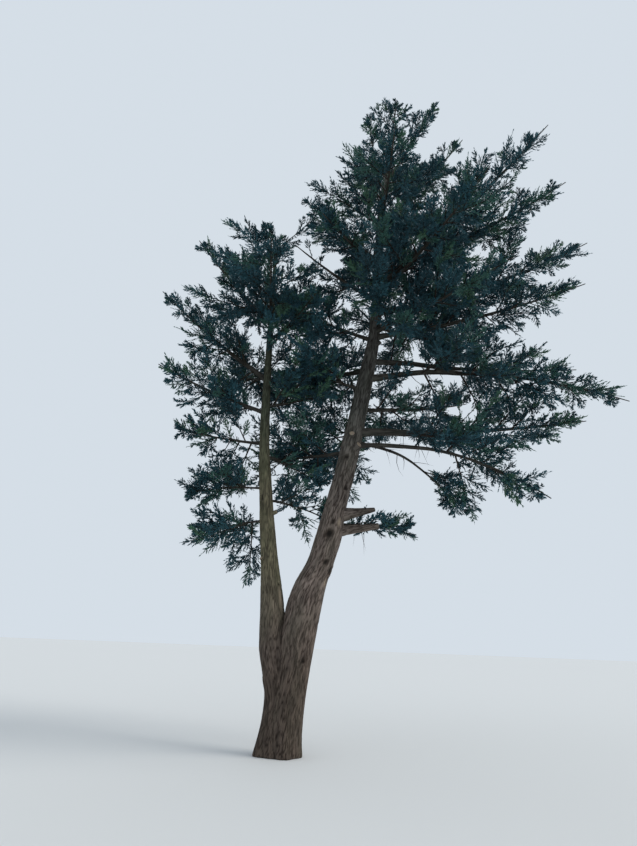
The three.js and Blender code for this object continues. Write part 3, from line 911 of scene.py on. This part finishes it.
# Twigs turn round the mass's stem by the golden angle and close up towards its
# tip. Each twig ends in a spray and has others at its sides, and between the
# twigs single sprays stand on the stem.
def dealMass(row, own):
    deal = dealer(4001 + 977 * own)
    sprays = []
    count = max(2, math.floor(row["reach"] * (1 - row["bare"]) / rule["twigPitch"] + 0.5))
    phase = 360 * deal()
    for i in range(2 * count):
        t = rule["lastTwig"] * (i + 0.3) / (2 * count)
        at = row["bare"] + (1 - row["bare"]) * t
        turn = math.radians(phase + goldenAngle * i)
        opening = math.radians(openBy(rule["opening"], t))
        heading = unit(leanOut(limbFrame(row, at), opening, turn, rule["flatness"]) + (0, 0, 0.1))
        fan = dealFan(heading, deal)
        size = row["spread"] * rule["sprayReach"] * (1 - rule["sprayTaper"] * t) * (0.85 + 0.3 * deal())
        stalk = 0
        if i % 2 == 0:
            stalk = row["spread"] * rule["stalk"] * (1 - 0.5 * t) * (0.8 + 0.4 * deal())
        root = limbPoint(row, at)
        parent = len(sprays)
        sprays.append({"root": root, "heading": heading, "side": fan, "stalk": stalk,
                       "length": size, "parent": -1})
        for degrees, back in rule["sideSprays"] if stalk else ():
            lean = math.radians(degrees + 12 * (deal() - 0.5))
            sprays.append({
                "root": root + heading * stalk * back,
                "heading": heading * math.cos(lean) + fan * math.sin(lean),
                "side": fan * math.cos(lean) - heading * math.sin(lean),
                "stalk": 0, "length": size * (0.72 + 0.2 * deal()), "parent": parent,
            })
    return sprays


def sprayPoint(spray, along, breadth):
    return (spray["root"] + spray["heading"] * (spray["stalk"] + along * spray["length"])
            + spray["side"] * breadth * spray["length"] * rule["sprayWidth"] / 2)


sprayPlaces = ((0.12, 0), (0.4, 1), (0.4, -1), (0.4, 0), (0.7, 0.5), (0.7, -0.5), (1, 0))


# A spray that would leave its mass's space or touch wood is drawn shorter, and
# left out where that isn't enough.
def fitSpray(spray, own):
    for share in rule["fits"]:
        trial = dict(spray, stalk=spray["stalk"] * share, length=spray["length"] * share)
        points = np.array([sprayPoint(trial, *place) for place in sprayPlaces])
        if inOwnSpace(points, own).all() and clearOfWood(points, own).all():
            return trial
    return None


plume = {
    "branchPitch": 150,  # along the mass's stem, between its finer branches
    "fewest": {"right": 9, "left": 13},
    "branchLength": 1.65,  # of the mass's spread, at its foot
    "branchOpening": (66, 30),
    "branchFits": (1, 0.84, 0.7, 0.56, 0.44, 0.32),
    "branchClear": 70,  # from the stems
    "overlap": 330,  # how far branches may reach into a neighbour's space
    "sprayPitch": 95,  # along a finer branch
    "sprayLeast": 110,
    "sprayLength": 0.46,  # of the finer branch's length
    "sprayOpening": (58, 26),
    "sprayFits": (1, 0.7, 0.5),
    "sprayClear": 30,
    "deadPitch": 170,  # between dead twigs on the bare part of a limb
    "deadLength": (120, 360),
    "shootPitch": 27,  # along a spray, between its side shoots
    "shootLength": 0.4,  # of the spray's length, at its foot
    "shootLeast": 36,
    "shootOpening": (50, 18),
    "shootClear": 15,
    "scatter": 42,  # of the side shoots out of the spray's plane
    "curl": 0.08,  # how far the tips turn up
    "needlePitch": 21,
    "needleLength": 70,
    "needleWidth": 24,
    "needleOpening": (28, 16),
    "needleRoll": 0.9,
    "needleWaist": 0.42,
}


# Above these heights the limbs are leafy from close to the stem.
leafyFrom = {"right": 6100, "left": 3900}

# This mass lies flat between the cut stubs.
flatSprays = {"low_spray": 0.3}

# Nothing reaches further than the solids do.
boxLow = np.array(cadLow) * 1000 + 40
boxHigh = np.array(cadHigh) * 1000 - 40


def insideBox(points):
    return (points > boxLow).all() and (points < boxHigh).all()


# Sky shows through the crown here: x and z where the sight line from the camera
# meets the plane of the stems, and a radius.
skyGaps = [
    (-1620, 7090, 280), (1950, 4040, 230), (1960, 3600, 170), (-350, 8090, 240),
    (2020, 5510, 215), (470, 7390, 200), (2620, 4820, 160),
    (110, 7540, 160), (3310, 6150, 150), (1250, 3580, 180), (2470, 5480, 135),
    (310, 3240, 120), (1480, 4200, 120), (3740, 6120, 165), (3970, 9730, 140),
    (2550, 9640, 150), (2360, 4890, 95),
]


def inSkyGap(points):
    points = np.asarray(points)
    eye = np.array(viewFrom["place"]) * 1000
    seen = eye + (points - eye) * (eye[1] / (eye[1] - points[:, 1:2]))
    inside = np.zeros(len(points), bool)
    for i, (x, z, radius) in enumerate(skyGaps):
        across, over = seen[:, 0] - x, seen[:, 2] - z
        edge = radius * (0.95 + 0.15 * np.sin(5 * np.arctan2(over, across) + 2 * i))
        inside |= np.hypot(across, over) < edge
    return inside


# The finer branches of a mass leave its stem to both sides, longest near the
# foot of the foliage, and reach into the gaps as far as its space allows.
def dealBranches(row, own):
    deal = dealer(70001 + 331 * own)
    branches = []
    bare = row["bare"]
    level = 1
    if row["name"] in flatSprays:
        bare, level = bare * 0.3, flatSprays[row["name"]]
    elif bare < 0.4:
        bare *= 0.25 if row["height"] > leafyFrom[row["stem"]] else 0.5
    count = max(plume["fewest"][row["stem"]], round(row["reach"] * (1 - bare) / plume["branchPitch"]))
    for i in range(count):
        t = 0.02 + 0.9 * (i + deal()) / count
        at = bare + (1 - bare) * t
        turn = math.pi * i + math.radians(120 * (deal() - 0.5))
        opening = math.radians(openBy(plume["branchOpening"], t))
        heading = unit(leanOut(limbFrame(row, at), opening, turn, level))
        length = row["spread"] * (plume["branchLength"] * (1 - t) ** 1.4 + 0.05) * (0.75 + 0.5 * deal())
        root = limbPoint(row, at)
        for share in plume["branchFits"]:
            reach = heading * length * share
            points = np.array([root + reach * s for s in (0.45, 0.75, 1)])
            inReach = inOwnSpace(points, own, -plume["overlap"]).all() and insideBox(points)
            inReach &= clearOfStems(points, plume["branchClear"]).all()
            if inReach and not inSkyGap(points[1:]).any():
                branches.append({"root": root, "heading": heading, "length": length * share,
                                 "radius": 4 + 0.25 * limbRadius(row, at) + 0.006 * length * share})
                break
    return branches


# Thin dead twigs are left on the bare part of a limb.
def dealDeadTwigs(row, own):
    deal = dealer(90001 + 53 * own)
    twigs = []
    for _ in range(round(row["bare"] * row["reach"] / plume["deadPitch"])):
        at = row["bare"] * (0.15 + 0.85 * deal())
        turn, opening = 2 * math.pi * deal(), math.radians(45 + 35 * deal())
        heading = unit(leanOut(limbFrame(row, at), opening, turn) + (0, 0, -0.3))
        root = limbPoint(row, at)
        least, more = plume["deadLength"]
        length = least + more * deal() ** 2
        points = np.array([root + heading * length])
        if clearOfStems(points).all() and insideBox(points):
            bend = np.array((deal() - 0.5, deal() - 0.5, 0.9 * deal() - 0.6)) * 0.9
            twigs.append((root, heading, bend, length, 2.6 + 0.008 * length))
    return twigs


# Sprays turn round a finer branch by the golden angle, and one ends it.
def dealBranchSprays(branch, seed):
    deal = dealer(seed)
    heading, length = branch["heading"], branch["length"]
    count = max(3, round(length / plume["sprayPitch"]))
    phase = 360 * deal()
    sprays = []
    for i in range(count + 1):
        s = 1 if i == count else 0.12 + 0.86 * (i + deal()) / count
        turn = math.radians(phase + goldenAngle * i)
        opening = math.radians(openBy(plume["sprayOpening"], s)) if i < count else 0
        way = leanOut((heading, *headingFrame(heading)), opening, turn, rule["flatness"])
        way = unit(way + (0, 0, 0.06))
        spray = {"root": branch["root"] + heading * length * min(s, 0.98), "heading": way, "stalk": 0,
                 "side": dealFan(way, deal)}
        size = plume["sprayLeast"] + plume["sprayLength"] * length * (1 - 0.4 * s)
        size *= 0.75 + 0.5 * deal()
        for share in plume["sprayFits"]:
            spray["length"] = size * share
            points = np.array([sprayPoint(spray, along, 0) for along in (0.5, 1)])
            if clearOfStems(points, plume["sprayClear"]).all() and insideBox(points):
                sprays.append(dict(spray))
                break
    return sprays


def unitRows(vectors):
    return vectors / np.linalg.norm(vectors, axis=1, keepdims=True)


def turnRows(rows, towards, angles):
    return rows * np.cos(angles)[:, None] + towards * np.sin(angles)[:, None]


def crossRows(headings):
    reference = np.where(np.abs(headings[:, 2:]) > 0.9, (0, 1, 0), (0, 0, 1))
    across = unitRows(np.cross(headings, reference))
    return across, np.cross(across, headings)


# Thin rods along curved shoots: rings of a few corners, closed at the foot and
# drawn to a point.
def growRods(starts, headings, curls, lengths, radii, sides, rings):
    across, over = crossRows(headings)
    blocks = []
    for ring in range(rings):
        s = ring / rings
        centre = starts + (headings * s + curls * s * s) * lengths[:, None]
        for corner in range(sides):
            angle = 2 * math.pi * corner / sides
            outward = across * math.cos(angle) + over * math.sin(angle)
            blocks.append(centre + outward * (radii * (1 - 0.8 * s))[:, None])
    blocks.append(starts + (headings + curls) * lengths[:, None])
    points = np.stack(blocks, axis=1)
    faces = [(0, corner + 1, corner) for corner in range(1, sides - 1)]
    for ring in range(rings - 1):
        for corner in range(sides):
            a, b = ring * sides + corner, ring * sides + (corner + 1) % sides
            faces += [(a, b, b + sides), (a, b + sides, a + sides)]
    last = (rings - 1) * sides
    faces += [(last + corner, last + (corner + 1) % sides, rings * sides) for corner in range(sides)]
    triangles = np.array(faces)[None] + (np.arange(len(starts)) * points.shape[1])[:, None, None]
    return points.reshape(-1, 3), triangles.reshape(-1, 3)


# Needles stand along a shoot by the golden angle and close up towards its tip.
# Each is a folded kite of two faces.
def growNeedles(starts, headings, curls, lengths, tones, rng):
    counts = np.maximum(5, np.round(lengths / plume["needlePitch"])).astype(int)
    owner = np.repeat(np.arange(len(counts)), counts)
    step = np.arange(counts.sum()) - np.repeat(np.cumsum(counts) - counts, counts)
    s = (step + rng.uniform(0.2, 0.8, len(step))) / counts[owner]
    heading = unitRows(headings[owner] + 2 * curls[owner] * s[:, None])
    bent = headings[owner] * s[:, None] + curls[owner] * (s * s)[:, None]
    root = starts[owner] + bent * lengths[owner][:, None]
    across, over = crossRows(heading)
    turn = np.radians(goldenAngle) * step + 2.4 * owner
    outward = turnRows(across, over, turn)
    opening = np.radians(openBy(plume["needleOpening"], s) + rng.uniform(-8, 8, len(s)))
    way = turnRows(heading, outward, opening)
    flat = unitRows(np.cross(way, outward))
    face = np.cross(flat, way)
    roll = plume["needleRoll"] * rng.uniform(-1, 1, len(s))
    flat, face = turnRows(flat, face, roll), turnRows(face, -flat, roll)
    size = (plume["needleLength"] * (1 - 0.35 * s) * rng.uniform(0.75, 1.15, len(s)))[:, None]
    half = plume["needleWidth"] / 2 * size / plume["needleLength"]
    middle = root + way * size * plume["needleWaist"] - face * half * 0.5
    points = np.stack((root, middle - flat * half, root + way * size, middle + flat * half), axis=1)
    first = np.arange(len(s))[:, None] * 4
    triangles = np.concatenate((first + (0, 1, 2), first + (0, 2, 3)), axis=1)
    return points.reshape(-1, 3), triangles.reshape(-1, 3), np.repeat(tones[owner], 2)


def makeMesh(name, points, triangles, materials, indices=None):
    mesh = bpy.data.meshes.new(name)
    mesh.vertices.add(len(points))
    mesh.vertices.foreach_set("co", (points * toMetres).astype(np.float32).ravel())
    mesh.loops.add(triangles.size)
    mesh.loops.foreach_set("vertex_index", triangles.astype(np.int32).ravel())
    mesh.polygons.add(len(triangles))
    mesh.polygons.foreach_set("loop_start", np.arange(0, triangles.size, 3, dtype=np.int32))
    for material in materials:
        mesh.materials.append(material)
    if indices is not None:
        mesh.polygons.foreach_set("material_index", indices.astype(np.int32))
    mesh.update(calc_edges=True)
    mesh.validate()
    piece = bpy.data.objects.new(name, mesh)
    bpy.context.scene.collection.objects.link(piece)
    return piece


# Side shoots stand along a spray, longest near its foot, so that it has the
# outline of a flame. Those that would reach a stem are left out.
def growShoots(sprays, rng):
    rows = []
    for spray in sprays:
        length = spray["length"]
        count = max(5, round(length / plume["shootPitch"]))
        s = (np.arange(count) + rng.uniform(0.1, 0.9, count)) / count * (0.9 if length < 260 else 0.8)
        heading, side = spray["heading"], spray["side"]
        normal = np.cross(heading, side)
        sign = np.where(np.arange(count) % 2, 1, -1)
        turn = np.radians(rng.normal(0, plume["scatter"], count))
        outward = turnRows(sign[:, None] * side, normal, turn)
        opening = np.radians(openBy(plume["shootOpening"], s) + rng.uniform(-8, 8, count))
        way = turnRows(heading, outward, opening)
        reach = length * plume["shootLength"] * (1 - s) ** 1.2 * rng.uniform(0.65, 1.2, count)
        reach += plume["shootLeast"] * (1.1 - s)
        reach *= np.clip(0.55 + 3 * s, 0, 1)
        start = spray["root"] + (heading * s[:, None] + spray["curl"] * (s * s)[:, None]) * length
        curl = 0.18 * heading + (0, 0, 0.08)
        rows.append((start, way, np.tile(curl, (count, 1)), reach, np.full(count, spray["tone"])))
    starts, headings, curls, lengths, tones = (np.concatenate(column) for column in zip(*rows))
    clear = clearOfStems(starts + headings * lengths[:, None], plume["shootClear"])
    clear &= ~inSkyGap(starts + headings * lengths[:, None] * 0.6)
    return [column[clear] for column in (starts, headings, curls, lengths, tones)]


# All sprays of a mass: those of the solids' rule, one that ends its stem, and
# those of the finer branches.
def dealSprays(row, own, branches):
    fitted = []
    for spray in dealMass(row, own):
        rooted = spray["parent"] < 0 or fitted[spray["parent"]]
        fitted.append(fitSpray(spray, own) if rooted else None)
    sprays = [spray for spray in fitted if spray]
    leader = min(max(row["reach"] * 0.24, row["spread"] * 1.05), row["reach"] * 0.8)
    root = limbPoint(row, 1 - leader / row["reach"])
    sprays.append({"root": root, "heading": unit(limbPoint(row, 1) - root), "side": limbFrame(row, 0.97)[1],
                   "stalk": 0, "length": leader})
    for spray in sprays:
        spray["outer"] = True
    for i, branch in enumerate(branches):
        sprays += dealBranchSprays(branch, 30011 + 97 * own + 7 * i)

    kept = []
    for spray in sprays:
        reach = spray["stalk"] + spray["length"]
        hidden = inSkyGap([spray["root"] + spray["heading"] * reach * s for s in (0.3, 0.6, 0.9)])
        if hidden.sum() < 2:
            spray["length"] *= 0.7 if hidden[2] else 1
            kept.append(spray)
    return kept or sprays[:1]


# The shares of needleTones, for sprays at the outside of the crown and within it;
# within it the darker tones weigh more, as painted shade.
toneShares = {"outer": (0.2, 0.36, 0.3, 0.14), "inner": (0.42, 0.36, 0.17, 0.05)}
straight = np.zeros(3)


def dressMass(row, own):
    rng = np.random.default_rng(52000 + own)
    branches = dealBranches(row, own)
    sprays = dealSprays(row, own, branches)
    rods = dealDeadTwigs(row, own)
    rods += [(branch["root"], branch["heading"], straight, branch["length"], branch["radius"])
             for branch in branches]
    for spray in sprays:
        if spray["stalk"] > 0:
            rods.append((spray["root"], spray["heading"], straight, spray["stalk"] * 1.5,
                         5 + 0.02 * spray["stalk"]))
        spray["root"] = spray["root"] + spray["heading"] * spray["stalk"]
        spray["length"] *= 0.94
        spray["curl"] = np.array((0, 0, plume["curl"] * (1 - abs(spray["heading"][2]))))
        # Sprays within the crown are dealt darker tones, as painted shade.
        spray["tone"] = rng.choice(4, p=toneShares["outer" if spray.get("outer") else "inner"])
    shoots = growShoots(sprays, rng)
    mains = [np.array([spray[key] for spray in sprays])
             for key in ("root", "heading", "curl", "length", "tone")]
    together = [np.concatenate(pair) for pair in zip(mains, shoots)]
    points, needleFaces, tones = growNeedles(*together, rng)
    piece = makeMesh(f"needles_{row['name']}", points, needleFaces, needleTones, tones)
    finishPiece(piece, [f"mass_{row['name']}"], "needles")

    starts, headings, curls, lengths, _ = shoots
    grown = [growRods(*mains[:4], 3 + mains[3] * 0.009, 3, 3),
             growRods(starts, headings, curls, lengths * 0.9, 1.8 + lengths * 0.008, 3, 1)]
    if rods:
        grown.append(growRods(*(np.array(column) for column in zip(*rods)), 5, 3))
    firsts = np.cumsum([0] + [len(points) for points, _ in grown])
    twigFaces = np.concatenate([faces + first for (_, faces), first in zip(grown, firsts)])
    points = np.concatenate([points for points, _ in grown])
    piece = makeMesh(f"twigs_{row['name']}", points, twigFaces, [twigTones[row["stem"]]])
    finishPiece(piece, [f"mass_{row['name']}"], woodSlots[row["stem"]])
    return len(needleFaces), len(twigFaces)


faceCounts = np.sum([dressMass(row, own) for own, row in enumerate(limbs)], axis=0)
print("foliage made:", *faceCounts, "faces of needles and of twigs")


print("cad", [round(v, 3) for v in (*cadLow, *cadHigh)])
